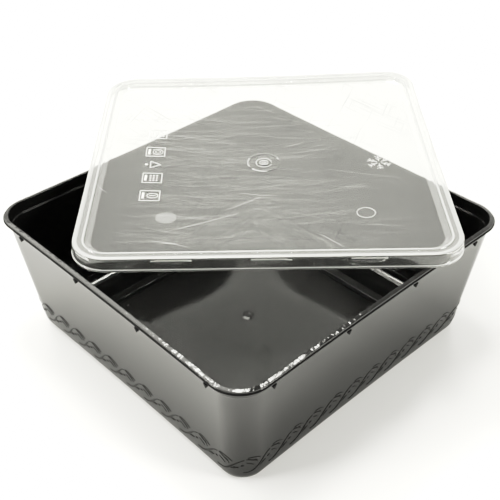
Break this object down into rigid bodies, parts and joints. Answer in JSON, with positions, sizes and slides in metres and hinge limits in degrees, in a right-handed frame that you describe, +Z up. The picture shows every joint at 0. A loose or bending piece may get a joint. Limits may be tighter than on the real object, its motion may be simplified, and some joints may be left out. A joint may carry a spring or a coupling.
{
  "type": "square microwave food container with loose lid",
  "caption": "Deep square black plastic food tub with a stacking rim and rounded corners, its clear press-fit lid lying loose and turned across the rim.",
  "frame": {"origin": "middle of the footprint of tub and lid together, on the surface the tub stands on", "axes": "+Z up out of the tub's opening; +X and +Y square to the tub's sides, the lid overhanging towards -X and +Y"},
  "size_m": [0.2902, 0.2976, 0.0948],
  "materials": {
    "tub_plastic": "black moulded polypropylene, satin outside and glossy inside",
    "lid_plastic": "clear, slightly milky moulded polypropylene with fine scratches"
  },
  "bodies": {
    "root": {"tub": "tub_plastic", "lid": "lid_plastic"}
  },
  "joints": []
}
